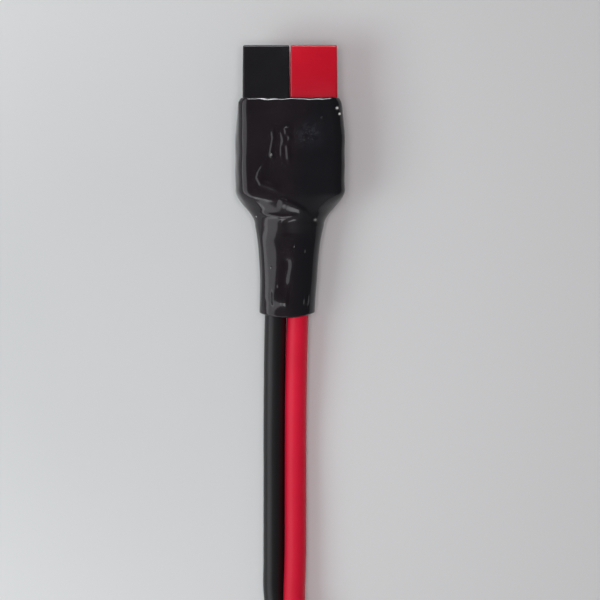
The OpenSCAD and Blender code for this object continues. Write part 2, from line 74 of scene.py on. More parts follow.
only()
camera_z = UPPER_FACE_Z + FRAME_MM * LENS / SENSOR
bpy.ops.object.camera_add(location=[c * MM for c in (*PICTURE_MIDDLE, camera_z)], rotation=(0, 0, 0))
camera = bpy.context.object
camera.name = "picture_camera"
camera.data.lens, camera.data.sensor_width = LENS, SENSOR
camera.data.clip_start, camera.data.clip_end = 0.01, 20
scene.camera = camera
scene.view_settings.view_transform = "Standard"
print("camera height:", round(camera_z, 1), "mm")

# %% [markdown]
# ## The path of the wire pair
# Two insulated wires leave the sleeve side by side. They sink to the table within a few centimetres,
# and red slowly rolls on top of black, which is what narrows black in the picture. Past the picture's
# lower edge the pair stands on edge and is folded into a hank: three runs and two drop-shaped loops.
# A path like that could be drawn by hand, point by point. It is shorter to walk it: a step is an arc
# of some radius and turn, or a straight run, and the walker drops a point every few degrees.

# %% Walk the hank
PAIR_HALF = 1.85
TURNING_HALF = 1.9
# x, y, z, half the distance between the wires, and the roll of the pair in degrees
WIRE_ROUTE = [
    (0, 1.5, 5.25, 3.975, 0), (0, -1.85, 5.25, 3.975, 0), (0, -4.45, 5.25, 3.4, 0),
    (-0.05, -7.05, 5.2, 2.3, 0), (-0.1, -9.85, 5.1, PAIR_HALF, 0), (-0.25, -14, 4.9, PAIR_HALF, 0),
    (-0.4, -18, 4.6, PAIR_HALF, 0), (-0.6, -23, 4.25, PAIR_HALF, 1), (-0.75, -29, 3.6, PAIR_HALF, 7),
    (-0.85, -36, 2.75, PAIR_HALF, 12), (-0.9, -43, 2.25, PAIR_HALF, 12), (-0.9, -50, 2.3, PAIR_HALF, 14),
    (-0.9, -57, 2.45, TURNING_HALF, 18), (-0.93, -64, 2.53, TURNING_HALF, 20),
    (-0.97, -70, 2.8, TURNING_HALF, 29), (-0.3, -76, 3.4, TURNING_HALF, 54),
    (1, -81.3, 3.7, TURNING_HALF, 74), (2.7, -85.1, 3.7, PAIR_HALF, 90),
]
HANK_Z, HANK_Y = 3.7, -143.801
STRAP_RISE, RISE_REACH, RISE_L = 0.95, 15, 8.5
WAY_IN = math.radians(-60)
FOLD = 40.366
STRAIGHT, STRAIGHT_POINTS = 25.2, 6
DEGREES_A_POINT = 13
# Steps of the walk: (radius, turn in degrees) for an arc, or one length for a straight run
OUTER_WAY_IN = [(25, 20), (16, -90 - FOLD + 40), (26, FOLD)]
LOWER_LOOP = [(30, FOLD), (12, -180 - 2 * FOLD), (30, FOLD)]
UPPER_LOOP = [(30, -FOLD), (12, 180 + 2 * FOLD), (30, -FOLD)]
WALK = [
    *OUTER_WAY_IN, STRAIGHT, *LOWER_LOOP, STRAIGHT, *UPPER_LOOP, STRAIGHT,
    *[(radius, -turn) for radius, turn in reversed(OUTER_WAY_IN)],
]
# x and y from the end of the walk, and z, on the way into the plug
TAIL = [(1.7, -3.8, 3.7), (2.9, -8, 4), (3.35, -12.5, 4.7), (3.35, -16, 5.25), (3.35, -20, 5.25)]


def ease(t):
    """0 before 0, 1 after 1, and a soft S between them."""
    t = np.clip(t, 0, 1)
    return t * t * (3 - 2 * t)


def walk_hank(x, y, heading):
    """Points along the hank: x, y, z, half distance and roll, as in the route."""
    points = []
    for step in WALK:
        straight = not isinstance(step, tuple)
        pieces = STRAIGHT_POINTS if straight else max(3, round(abs(step[1]) / DEGREES_A_POINT))
        for _ in range(pieces):
            turn = 0 if straight else math.radians(step[1] / pieces)
            chord = step / pieces if straight else 2 * step[0] * math.sin(abs(turn) / 2)
            x += chord * math.cos(heading + turn / 2)
            y += chord * math.sin(heading + turn / 2)
            heading += turn
            rise = STRAP_RISE * ease((RISE_REACH - abs(y - HANK_Y)) / RISE_L)
            points.append((x, y, HANK_Z + rise, PAIR_HALF, 90))
    return points


hank_route = walk_hank(*WIRE_ROUTE[-1][:2], WAY_IN)
tail_start = hank_route[-1]
tail_route = [(tail_start[0] + x, tail_start[1] + y, z, PAIR_HALF, 90) for x, y, z in TAIL]
pair_route = WIRE_ROUTE + hank_route + tail_route
print("points on the pair:", len(pair_route), "tail starts at", [round(c, 2) for c in tail_start[:3]])

# %% [markdown]
# ## The two wires
# Each wire is a soft copper strand in a round PVC coat. A round coat along a path is what a curve with
# a bevel is for: the points stay few and can be moved later, and the tube follows. Bezier points with
# automatic handles make one smooth line through the points of the route. Each point carries the wire's
# radius and the bevel depth is 1, because Blender counts a point's radius into the curve's bounding box.

# %% Wires
WIRE_D = 3.65


def wire(name, side):
    """One wire of the pair: side is -1 for black and 1 for red."""
    only()
    bpy.ops.curve.primitive_bezier_curve_add()
    piece = bpy.context.object
    piece.name = piece.data.name = name
    piece.data.splines.clear()
    spline = piece.data.splines.new("BEZIER")
    spline.bezier_points.add(len(pair_route) - 1)
    for point, (x, y, z, half, roll) in zip(spline.bezier_points, pair_route):
        roll = math.radians(roll)
        place = (x + side * half * math.cos(roll), y, z + side * half * math.sin(roll))
        point.co = [c * MM for c in place]
        point.radius = WIRE_D / 2 * MM
        point.handle_left_type = point.handle_right_type = "AUTO"
    piece.data.dimensions = "3D"
    piece.data.resolution_u = piece.data.render_resolution_u = 5
    piece.data.bevel_depth = 1.0
    piece.data.bevel_resolution = 7
    piece.data.use_fill_caps = True
    return piece


black_wire, red_wire = wire("wire_black", -1), wire("wire_red", 1)
for piece, nodes in (
    (black_wire, ("black_wire", "cord_hank", "black_tail")), (red_wire, ("red_wire", "red_tail")),
):
    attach(piece, "root")
    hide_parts(*nodes)
    print(piece.name, "length:", round(piece.data.splines[0].calc_length(), 4), "m")

# %% [markdown]
# ## Finishes: building a graph
# A material is a small graph of nodes that feeds a Principled shader. Short helpers keep the graphs
# readable: they add a node, turn a screen colour into a linear one, make a material and link the graph
# to its shader. A number that is the same all over a surface is set on the shader, and only what varies
# is linked to it.

# %% Graph helpers
def add(tree, kind, inputs=None, **settings):
    """Add a node; inputs are values or the sockets that feed them, settings are its own properties."""
    node = tree.nodes.new(kind)
    for key, value in settings.items():
        setattr(node, key, value)
    for key, value in (inputs or {}).items():
        if isinstance(value, bpy.types.NodeSocket):
            tree.links.new(value, node.inputs[key])
        else:
            node.inputs[key].default_value = value
    return node


def srgb(red, green, blue):
    """A colour as a screen shows it, 0 to 255, as the linear colour that a shader takes."""
    def linear(c):
        c /= 255
        return c / 12.92 if c <= 0.04045 else ((c + 0.055) / 1.055) ** 2.4
    return (linear(red), linear(green), linear(blue), 1.0)


def finish_for(name, **sockets):
    """A new material; its Principled shader's plain values are set by socket name."""
    material = bpy.data.materials.new(name)
    material.use_nodes = True
    shader = material.node_tree.nodes["Principled BSDF"]
    for key, value in sockets.items():
        shader.inputs[key.replace("_", " ")].default_value = value
    return material, material.node_tree, shader


def feed(tree, shader, **sockets):
    """Link what varies over a surface to the shader's sockets, by name."""
    for key, value in sockets.items():
        tree.links.new(value, shader.inputs[key.replace("_", " ")])


print("graph helpers ready")

# %% [markdown]
# ## Finishes: places, numbers and masks
# Most patterns start from a place: where a point lies on its own object, or on its UV map. A place gives
# a noise, a distance or one of its three parts. A ramp turns such a number into a mask from 0 to 1, and
# the mask mixes two colours, sets a roughness or lifts a bump. Each is one node and one small function.

# %% Pattern helpers
def position(tree, kind="Object"):
    """Where a point lies: Object in metres, UV on its map, Generated for directions."""
    return add(tree, "ShaderNodeTexCoord").outputs[kind]


def part(tree, vector, axis):
    """One of the three parts of a vector: X, Y or Z."""
    return add(tree, "ShaderNodeSeparateXYZ", {"Vector": vector}).outputs[axis]


def compute(tree, operation, *values):
    """One step of arithmetic with numbers or linked values."""
    return add(tree, "ShaderNodeMath", dict(enumerate(values)), operation=operation).outputs[0]


def with_vector(tree, operation, vector, other):
    """One step with two vectors: MULTIPLY gives a vector, DISTANCE and DOT_PRODUCT a number."""
    node = add(tree, "ShaderNodeVectorMath", {0: vector, 1: other}, operation=operation)
    return node.outputs["Vector" if operation == "MULTIPLY" else "Value"]


def noise(tree, place, scale, detail, roughness):
    """A cloudy number around 0.5."""
    inputs = {"Vector": place, "Scale": scale, "Detail": detail, "Roughness": roughness}
    return add(tree, "ShaderNodeTexNoise", inputs).outputs["Fac"]


def ramp(tree, value, start, end, soft=False):
    """A mask that is 0 at start and 1 at end, with a straight or a soft run between them."""
    inputs = {"Value": value, "From Min": start, "From Max": end}
    kind = "SMOOTHSTEP" if soft else "LINEAR"
    return add(tree, "ShaderNodeMapRange", inputs, interpolation_type=kind).outputs["Result"]


def between(tree, mask, low, high):
    """A value that runs from low to high as the mask runs from 0 to 1."""
    inputs = {"Value": mask, "To Min": low, "To Max": high}
    return add(tree, "ShaderNodeMapRange", inputs).outputs["Result"]


def shade(tree, low, high, mask):
    """A colour that runs from low to high with the mask; either may be linked."""
    inputs = {"Factor": mask, "A": low, "B": high}
    return add(tree, "ShaderNodeMix", inputs, data_type="RGBA").outputs["Result"]


def bump(tree, height, strength, distance):
    """A normal from a height; distance is in millimetres."""
    inputs = {"Height": height, "Strength": strength, "Distance": distance * MM}
    return add(tree, "ShaderNodeBump", inputs).outputs["Normal"]


print("pattern helpers ready")

# %% [markdown]
# ## Finishes: shared effects
# Moulded grain, drawn-out streaks and settled dust turn up on several parts, so each is a node group,
# built once and placed with its own values. A group gives out only what changes over the surface.
# Grain is a fine noise, and streaks are a stretched one. Dust is a scatter of small dots: the distance
# to the nearest of many random points, cut off close to the point.

# %% Shared effects
def group(name, inputs, outputs):
    """An empty node group: inputs are names with default values, outputs are names of numbers."""
    tree = bpy.data.node_groups.new(name, "ShaderNodeTree")
    for key, value in inputs.items():
        kind = "NodeSocketVector" if isinstance(value, tuple) else "NodeSocketFloat"
        tree.interface.new_socket(key, in_out="INPUT", socket_type=kind).default_value = value
    for key in outputs:
        tree.interface.new_socket(key, in_out="OUTPUT", socket_type="NodeSocketFloat")
    return tree, tree.nodes.new("NodeGroupInput").outputs, tree.nodes.new("NodeGroupOutput").inputs


def moulded_grain():
    """Fine grain, and broad patches for slow changes of tone."""
    inputs = {"Scale": 2500.0, "Patch Scale": 120.0}
    tree, given, out = group("moulded_grain", inputs, ["Grain", "Patches"])
    place = position(tree)
    patches = noise(tree, place, given["Patch Scale"], 4.0, 0.55)
    tree.links.new(noise(tree, place, given["Scale"], 3.0, 0.6), out["Grain"])
    tree.links.new(between(tree, patches, -0.7, 1.7), out["Patches"])
    return tree


def drawn_streaks():
    """Scratches along one direction: the way with the smallest stretch."""
    tree, given, out = group("drawn_streaks", {"Stretch": (1.0, 1.0, 1.0), "Scale": 900.0}, ["Streaks"])
    drawn = with_vector(tree, "MULTIPLY", position(tree), given["Stretch"])
    streaks = noise(tree, drawn, given["Scale"], 4.0, 0.6)
    tree.links.new(between(tree, streaks, -0.6, 1.6), out["Streaks"])
    return tree


def settled_dust():
    """Small dots on what faces up; Share is how many of the random points keep theirs."""
    tree, given, out = group("settled_dust", {"Scale": 320.0, "Size": 0.06, "Share": 0.25}, ["Dust"])
    inputs = {"Vector": position(tree), "Scale": given["Scale"], "Randomness": 1.0}
    dots = add(tree, "ShaderNodeTexVoronoi", inputs, feature="F1").outputs
    near = compute(tree, "LESS_THAN", dots["Distance"], given["Size"])
    pick = add(tree, "ShaderNodeSeparateColor", {"Color": dots["Color"]}).outputs["Red"]
    kept = compute(tree, "LESS_THAN", pick, given["Share"])
    upward = part(tree, add(tree, "ShaderNodeNewGeometry").outputs["Normal"], "Z")
    lying = compute(tree, "GREATER_THAN", upward, 0.4)
    dust = compute(tree, "MULTIPLY", compute(tree, "MULTIPLY", near, kept), lying)
    tree.links.new(dust, out["Dust"])
    return tree


def place_group(tree, shared, **values):
    """Put a shared effect into a material, with its own values."""
    node = tree.nodes.new("ShaderNodeGroup")
    node.node_tree = shared
    for key, value in values.items():
        node.inputs[key.replace("_", " ")].default_value = value
    return node.outputs


GRAIN, STREAKS, DUST = moulded_grain(), drawn_streaks(), settled_dust()
print("shared effects:", [g.name for g in bpy.data.node_groups])

# %% [markdown]
# ## Finishes: the housings' plastic
# The housings are polycarbonate with the fine, even texture of a spark-eroded mould. The colour moves a
# little over the surface, because no real moulding is one flat colour. Towards the sleeve it runs to a
# third tone, a painted shade that darkens the red housing most. A painted picture could do that too, but
# a graph needs no file and stays sharp close up.

# %% Housing plastic
# where the painted shade towards the sleeve begins and where it is full, in mm of y
SHADE_FROM_Y, SHADE_TO_Y = 23, 13


def housing_plastic(name, low, high, shaded_at_sleeve):
    """Textured polycarbonate: low to high in patches, and a painted shade that darkens it towards the
    sleeve.
    """
    material, tree, shader = finish_for(name, IOR=1.5, Specular_IOR_Level=0.35)
    grain = place_group(tree, GRAIN, Scale=3200.0, Patch_Scale=150.0)
    dust = place_group(tree, DUST, Scale=420.0, Size=0.05, Share=0.1)["Dust"]
    # painted shade: the colour runs darker towards the sleeve
    painted_shade = ramp(tree, part(tree, position(tree), "Y"), SHADE_FROM_Y * MM, SHADE_TO_Y * MM)
    body = shade(tree, low, high, grain["Patches"])
    body = shade(tree, body, shaded_at_sleeve, painted_shade)
    feed(
        tree, shader,
        Base_Color=shade(tree, body, srgb(150, 146, 142), dust),
        Roughness=between(tree, grain["Patches"], 0.15, 0.21),
        Normal=bump(tree, grain["Grain"], 0.3, 0.015),
    )
    return material


# the third colour of each housing is its painted shade towards the sleeve
BLACK_SHELL = housing_plastic("polycarbonate_black", srgb(20, 19, 23), srgb(26, 24, 28), srgb(21, 20, 24))
RED_SHELL = housing_plastic("polycarbonate_red", srgb(206, 9, 37), srgb(220, 12, 42), srgb(188, 8, 37))
print("housing plastics:", BLACK_SHELL.name, "and", RED_SHELL.name)

# %% [markdown]
# ## Finishes: the shrink film
# The shrink tube is a polyolefin film: nearly black, and glossy, because it was melted smooth when it
# shrank. Its left side looks a little warm and its right side a little blue, with the border on a slant
# over the housings. A patch on the right of its face was rubbed dull. Dust has settled on it. Some specks
# carry pale marks, partly lint and partly painted glints, which the sleeve's mesh carries as a value at
# each point. So the colour is built in layers, each with its own mask.

# %% Shrink film
BLUE_SLANT, BLUE_FROM_X, BLUE_TO_X = -0.2, -0.5, 2.5
RUB_MIDDLE, RUB_EDGE, RUB_FULL = (3.3, 7.8, 10.0), 3.6, -0.4


def shrink_film(name):
    """Glossy black film with a bluish right side, a rubbed patch, dust, and pale specks that are partly
    fluff and partly painted glints.
    """
    material, tree, shader = finish_for(name, IOR=1.46, Specular_IOR_Level=0.5)
    grain = place_group(tree, GRAIN, Scale=900.0, Patch_Scale=260.0)
    dust = place_group(tree, DUST, Scale=330.0, Size=0.045, Share=0.22)["Dust"]
    # pale lint and painted glints on the specks, read from the sleeve's mesh
    lint_and_glint = add(tree, "ShaderNodeAttribute", attribute_name="lint_and_glint").outputs["Fac"]
    spot = position(tree)
    front = compute(tree, "MAXIMUM", part(tree, spot, "Y"), 0.0)
    across = compute(tree, "MULTIPLY_ADD", front, BLUE_SLANT, part(tree, spot, "X"))
    bluish = ramp(tree, across, BLUE_FROM_X * MM, BLUE_TO_X * MM, soft=True)
    away = with_vector(tree, "DISTANCE", spot, [c * MM for c in RUB_MIDDLE])
    rubbed = ramp(tree, away, RUB_EDGE * MM, RUB_FULL * MM, soft=True)
    scuff = compute(tree, "MULTIPLY", rubbed, between(tree, grain["Grain"], -1.5, 2.7))
    body = shade(tree, srgb(19, 13, 19), srgb(26, 19, 25), grain["Patches"])
    # the near-white layer is lint and painted glints on the specks
    for layer, mask in (
        (srgb(9, 9, 16), bluish), (srgb(36, 38, 45), scuff),
        (srgb(190, 188, 186), dust), (srgb(244, 243, 240), lint_and_glint),
    ):
        body = shade(tree, body, layer, mask)
    feed(
        tree, shader, Base_Color=body,
        Roughness=between(tree, grain["Patches"], 0.1, 0.17),
        Normal=bump(tree, grain["Grain"], 0.12, 0.02),
    )
    return material


SHRINK = shrink_film("shrink_film_black")
print("film:", SHRINK.name, "with", len(SHRINK.node_tree.nodes), "nodes")

# %% [markdown]
# ## Finishes: the wires' coats
# The wires' PVC is softer and more satin than the housings, and it was drawn through a die, so its faint
# streaks run along the wire. A curve's UV map runs along the wire and round it, so a noise that is
# stretched on that map follows every bend.

# %% Wire coats
COAT_STRETCH = (60.0, 9.0, 1.0)


def wire_coat(name, low, high, gloss, smooth_end, rough_end):
    """Drawn PVC; its roughness runs from smooth_end to rough_end with the streaks."""
    material, tree, shader = finish_for(name, IOR=1.5, Specular_IOR_Level=gloss)
    grain = place_group(tree, GRAIN, Scale=2200.0, Patch_Scale=90.0)
    drawn = with_vector(tree, "MULTIPLY", position(tree, "UV"), COAT_STRETCH)
    streak = noise(tree, drawn, 1.0, 4.0, 0.6)
    feed(
        tree, shader,
        Base_Color=shade(tree, low, high, grain["Patches"]),
        Roughness=between(tree, streak, smooth_end, rough_end),
        Normal=bump(tree, compute(tree, "ADD", streak, grain["Grain"]), 0.2, 0.02),
    )
    return material


BLACK_COAT = wire_coat("wire_pvc_black", srgb(13, 13, 15), srgb(19, 19, 21), 0.36, 0.3, 0.4)
RED_COAT = wire_coat("wire_pvc_red", srgb(205, 16, 48), srgb(219, 22, 56), 0.2, 0.4, 0.5)
print("wire coats:", BLACK_COAT.name, "and", RED_COAT.name)

# %% [markdown]
# ## Finishes: metals and the rest
# The contacts are silver-plated copper, stamped, so their fine scratches run along the blade. The leaf
# springs are stainless strip, the plug's barrel bright nickel, and the conductor bare copper. The
# plug's handle is soft PVC with a matt mould texture. Metals differ mostly in colour and roughness, so
# one function makes them all.

# %% Metals and mouldings
def drawn_metal(name, low, high, smooth_end, rough_end, stretch):
    """Metal with fine scratches; its roughness runs from smooth_end to rough_end with them."""
    material, tree, shader = finish_for(name, Metallic=1.0)
    streak = place_group(tree, STREAKS, Stretch=stretch, Scale=1400.0)["Streaks"]
    tone = place_group(tree, GRAIN, Scale=1800.0, Patch_Scale=200.0)["Patches"]
    feed(
        tree, shader,
        Base_Color=shade(tree, low, high, tone),
        Roughness=between(tree, streak, smooth_end, rough_end),
        Normal=bump(tree, streak, 0.12, 0.01),
    )
    return material


def matt_moulding(name, low, high, rough):
    """Plastic with a matt mould texture, around the roughness rough."""
    material, tree, shader = finish_for(name, IOR=1.5, Specular_IOR_Level=0.4)
    grain = place_group(tree, GRAIN, Scale=1900.0, Patch_Scale=110.0)
    feed(
        tree, shader,
        Base_Color=shade(tree, low, high, grain["Patches"]),
        Roughness=between(tree, grain["Patches"], rough - 0.05, rough + 0.06),
        Normal=bump(tree, grain["Grain"], 0.5, 0.03),
    )
    return material


ALONG_Y, ROUND_Y = (1.0, 0.06, 1.0), (1.0, 8.0, 1.0)
SILVER = drawn_metal("silver_plate", srgb(205, 203, 196), srgb(226, 225, 221), 0.22, 0.36, ALONG_Y)
SPRING = drawn_metal("spring_steel", srgb(168, 168, 166), srgb(188, 188, 186), 0.2, 0.34, ALONG_Y)
COPPER = drawn_metal("bare_copper", srgb(184, 112, 76), srgb(208, 140, 98), 0.25, 0.4, ALONG_Y)
NICKEL = drawn_metal("bright_nickel", srgb(196, 192, 182), srgb(214, 211, 203), 0.14, 0.24, ROUND_Y)
HANDLE = matt_moulding("handle_pvc", srgb(22, 22, 24), srgb(32, 32, 34), 0.55)
INSULATOR = matt_moulding("insulator_nylon", srgb(34, 33, 32), srgb(46, 45, 44), 0.45)
print("metals and mouldings:", len(bpy.data.materials), "materials so far")

# %% [markdown]
# ## Pieces from the frame
# The housings, contacts, springs and plug metals already have the right form in the frame, but their
# edges are razor sharp, and sharp edges never catch light. Blender could bevel the frame's own objects
# with live modifiers. A merged copy is safer: the frame's meshes are loose triangles, so a copy is
# welded, its flat faces are joined, its sharp edges get a small bevel, and it then stands for the node.

# %% Edge-finished copies
WELD = 1e-6
FLAT_JOINT, SHARP_EDGE, SMOOTH_BELOW = (math.radians(a) for a in (1.0, 35, 32))


def round_sharp_edges(piece, bevel, front_y):
    """Bevel all sharp edges, or those in front of y, where there is room for the full width."""
    bpy.ops.object.mode_set(mode="EDIT")
    bpy.ops.mesh.select_mode(type="EDGE")
    bpy.ops.mesh.select_all(action="DESELECT")
    bpy.ops.mesh.edges_select_sharp(sharpness=SHARP_EDGE)
    bpy.ops.object.mode_set(mode="OBJECT")
    points = piece.data.vertices
    for edge in piece.data.edges:
        in_front = front_y is None or all(points[i].co.y > front_y * MM for i in edge.vertices)
        edge.select = edge.select and in_front
    bpy.ops.object.mode_set(mode="EDIT")
    bpy.ops.mesh.bevel(
        offset=bevel * MM, segments=3, profile=0.5, affect="EDGES", clamp_overlap=front_y is None,
    )
    bpy.ops.object.mode_set(mode="OBJECT")


def edge_finished(node, name, bevel, material, slot, front_y=None):
    """A welded copy of a frame node, with rounded edges, that stands for it."""
    only()
    piece = bpy.data.objects.new(name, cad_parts[node].data.copy())
    scene.collection.objects.link(piece)
    only(piece)
    bpy.ops.mesh.customdata_custom_splitnormals_clear()
    bpy.ops.object.mode_set(mode="EDIT")
    bpy.ops.mesh.select_all(action="SELECT")
    bpy.ops.mesh.remove_doubles(threshold=WELD)
    bpy.ops.mesh.dissolve_limited(angle_limit=FLAT_JOINT)
    bpy.ops.object.mode_set(mode="OBJECT")
    if bevel:
        round_sharp_edges(piece, bevel, front_y)
    bpy.ops.object.shade_smooth_by_angle(angle=SMOOTH_BELOW)
    piece.data.materials.clear()
    piece.data.materials.append(material)
    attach(piece, "root")
    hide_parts(node)
    return piece


# Node, piece, bevel in mm, finish, slot, and the y that the beveled edges lie in front of
COPIES = [
    ("black_housing", "housing_black", 0.26, BLACK_SHELL, "housing_black", 22.7),
    ("red_housing", "housing_red", 0.26, RED_SHELL, "housing_red", 22.7),
    ("black_contact", "contact_black_pole", 0.08, SILVER, "contact_silver"),
    ("red_contact", "contact_red_pole", 0.08, SILVER, "contact_silver"),
    ("black_spring", "spring_black_pole", 0.06, SPRING, "spring_steel"),
    ("red_spring", "spring_red_pole", 0.06, SPRING, "spring_steel"),
    ("black_conductor", "strands_black_pole", 0, COPPER, "copper"),
    ("red_conductor", "strands_red_pole", 0, COPPER, "copper"),
    ("roll_pin", "locking_pin", 0.05, SPRING, "spring_steel"),
    ("plug_barrel", "plug_ferrule", 0.1, NICKEL, "nickel"),
    ("plug_insulator", "plug_insert", 0.08, INSULATOR, "insulator"),
    ("plug_centre_contact", "plug_socket", 0.05, NICKEL, "nickel"),
    ("plug_handle", "plug_grip", 0.18, HANDLE, "plug_mould"),
]
copies = {row[0]: edge_finished(*row) for row in COPIES}
for name, piece in copies.items():
    print(name, "->", piece.name, len(piece.data.polygons), "faces")

# %% [markdown]
# ## The sleeve: its section
# A wide tube was pushed over both housings and the wires, and heated until it shrank onto them. Its
# section is a soft-edged rectangle on the housings and an oval on the wires, with a shoulder between.
# It swells a little behind its mouth and flares where it leaves the shoulder. A loft through a few drawn
# sections would do. A function of y is easier to adjust: each width or height runs from one value to
# the next with a soft step.

# %% Sleeve section
MOUTH_Y, REAR_Y, END_Y = 14.0, -1.85, -22.75
SHOULDER_Y, SHOULDER_L = -1.2, 6.0
MOUTH_HALF_W, SWELL, SWELL_L = 8.725, 0.5, 6.85
NECK_HALF_W, NECK_HALF_H, NECK_SAG = 4.6, 2.625, 0.5
FLARE_W, FLARE_H, FLARE_L = 1.2, 0.35, 5.2
FACE_Z, MOUTH_LOW_Z, DROP_L = 10.0, 0.5, 8
# How far the neck's middle has moved across, at distances behind the origin
BEHIND, ACROSS_BY = [1.8, 7.0, 9.7, 16.4, 19.4, 22.75], [0, -0.1, -0.18, -0.28, -0.42, -0.5]
route_y = [-p[1] for p in WIRE_ROUTE]


def along_route(y, column):
    """A value of the wires' route at y: 0 for x, 2 for z."""
    return np.interp(-y, route_y, [p[column] for p in WIRE_ROUTE])


def swollen(y):
    """0 at the mouth and 1 where the sleeve is widest."""
    return ease((MOUTH_Y - y) / SWELL_L)


def sleeve_section(y):
    """Half width, low, widest and top height, and middle x of the sleeve at y."""
    swell, drop = swollen(y), ease((REAR_Y - y) / DROP_L)
    neck = ease((SHOULDER_Y - y) / SHOULDER_L)
    flare = np.exp(np.minimum(0, y - SHOULDER_Y + SHOULDER_L) / FLARE_L)
    half_w = (MOUTH_HALF_W + SWELL * swell) * (1 - neck) + (NECK_HALF_W + FLARE_W * flare) * neck
    wires = along_route(y, 2)
    low = MOUTH_LOW_Z * (1 - swell) * (1 - drop) + (wires - NECK_HALF_H - FLARE_H * flare) * drop
    top = FACE_Z * (1 - drop) + (wires + NECK_HALF_H + FLARE_H * flare) * drop
    widest = (top + low) / 2 - NECK_SAG * neck
    return half_w, low, widest, top, np.interp(-y, BEHIND, ACROSS_BY)


for place, at_y in (("mouth", MOUTH_Y), ("end", END_Y)):
    print(place, "of the sleeve:", [round(float(v), 2) for v in sleeve_section(at_y)])

# %% [markdown]
# ## The sleeve: its grid
# Wrapping a flat sheet round would leave a seam. A torus already has the topology of a sleeve: outside,
# rolled rim, inside, and rim again, closed both ways. So a torus is added, and each of its points is
# moved to its own place: its step round the ring picks a direction, and its step round the tube a place
# along the sleeve. The steps are closest where the creases will be.

# %% Sleeve grid
WALL, RIM_L, END_RIM_L = 0.75, 0.5, 0.2
CORNER_R, INNER_R, INNER_SWELL = 2.0, 0.45, 0.5
ARC_END, LEFT_ARC_LESS = 88, 18
NECK_FLAT, NECK_LEAN, NECK_ROUND_L = 1.0, 0.5, 3.4
COARSER_FROM_Y = -9.5


def runs(*parts):
    """Evenly spaced values through several runs: (first, last, how many), each without its last."""
    return np.concatenate([np.linspace(*run, endpoint=False) for run in parts])


def columns():
    """Columns round the ring: place on the flat face, -1 to 1, and slope, 0 above to pi below."""
    face = runs((1, 0.45, 26), (0.45, -0.8, 90), (-0.8, -1, 8))
    bend = runs((0, 70, 26), (70, 90, 12), (90, 110, 6))
    side = np.radians(np.concatenate([bend, np.linspace(110, 180, 11)]))
    low_face = np.linspace(-1, 1, 24)[1:-1]
    flat = np.concatenate([face, 0 * side - 1, low_face, 0 * side[1:] + 1])
    slope = np.concatenate([0 * face, side, 0 * low_face + np.pi, side[:0:-1]])
    return flat, slope


def corner(slope, r, height, arc_end):
    """How far a corner has gone out and down at a slope: an arc, then a long bulging side."""
    first = np.minimum(slope, arc_end)
    bulge = (height - r * (1 - np.cos(arc_end))) / np.cos(arc_end)
    out = r * np.sin(first) + bulge * (np.sin(slope) - np.sin(first))
    down = r * (1 - np.cos(first)) + bulge * (np.cos(first) - np.cos(slope))
    return out, down


def oval(slope, a, b):
    """How far an oval of half sizes a and b has gone out and down at a slope."""
    size = np.sqrt((a * np.sin(slope)) ** 2 + (b * np.cos(slope)) ** 2)
    return a * a * np.sin(slope) / size, b - b * b * np.cos(slope) / size


def sleeve_points(y, inset, flat, slope):
    """Points of the sleeve for columns and rows, as an array (columns, rows, 3)."""
    flat, slope = flat[:, None], slope[:, None]
    half_w, low, widest, top, middle = sleeve_section(y)
    inner, neck, upper = inset / WALL, ease((REAR_Y - y) / NECK_ROUND_L), slope < np.pi / 2
    half_w, low, top = half_w - inset, low + inset, top - inset
    height = np.where(upper, top - widest, widest - low)
    lean = np.where(upper, slope, np.pi - slope)
    way = np.where(flat > 0, 1.0, -1.0)
    on_face = lean < 1e-6
    r = CORNER_R * (1 - inner) + (INNER_R + INNER_SWELL * swollen(y)) * inner
    arc_end = np.radians(np.where(upper & (flat < 0), ARC_END - LEFT_ARC_LESS * swollen(y), ARC_END))
    full, _ = corner(np.pi / 2 + 0 * lean, r, height, arc_end)
    out, down = corner(lean, r, height, arc_end)
    box_x = flat * (half_w - full) + np.where(on_face, 0, way * out)
    side_lean = NECK_LEAN + (np.pi / 2 - NECK_LEAN) * (lean / (np.pi / 2)) ** 0.8
    neck_lean = np.where(on_face, np.abs(flat) * NECK_LEAN, side_lean)
    neck_out, neck_down = oval(neck_lean, half_w - NECK_FLAT, height)
    neck_x = flat * NECK_FLAT + way * neck_out
    x = box_x * (1 - neck) + neck_x * neck + middle
    fall = down * (1 - neck) + neck_down * neck
    return np.stack([x, y + 0 * x, np.where(upper, top - fall, low + fall)], 2)


def profile():
    """The way round the sleeve's wall: outside, end rim, inside, mouth rim. Returns y and inset."""
    first, last = MOUTH_Y - RIM_L, END_Y + END_RIM_L
    outside = np.concatenate([runs((first, COARSER_FROM_Y, 150)), np.linspace(COARSER_FROM_Y, last, 60)])
    inside = np.linspace(last, first, 26)
    turn = np.linspace(0, np.pi, 12)[1:-1]
    rim_inset = WALL / 2 * (1 - np.cos(turn))
    end_rim = END_Y + END_RIM_L * (1 - np.sin(turn))
    y = np.concatenate([outside, end_rim, inside, MOUTH_Y - RIM_L * (1 - np.sin(turn))])
    inset = np.concatenate([0 * outside, rim_inset, 0 * inside + WALL, rim_inset[::-1]])
    return y, inset


flat, slope = columns()
sleeve_y, sleeve_inset = profile()
only()
bpy.ops.mesh.primitive_torus_add(major_segments=len(flat), minor_segments=len(sleeve_y))
sleeve = bpy.context.object
sleeve.name = sleeve.data.name = "shrink_sleeve"
sleeve_form = sleeve_points(sleeve_y, sleeve_inset, flat, slope)
print("sleeve columns and rows:", sleeve_form.shape[:2], "points:", len(sleeve.data.vertices))

# %% [markdown]
# ## The sleeve: its creases
# Film wrinkles as it shrinks. Long thin wrinkles run over the flat face, the rear corner of the black
# housing shows through as a curved edge, the shoulder is crumpled where the film sank between the two
# wires, and the neck has a shallow groove, a soft edge over the black wire and a band at its end.
# Sculpting by hand would do it. Here each crease is a line on the upper face with a height and a width
# on each side, so it can be moved by changing a number. A crease that is steep on one side catches the
# light like a fold.

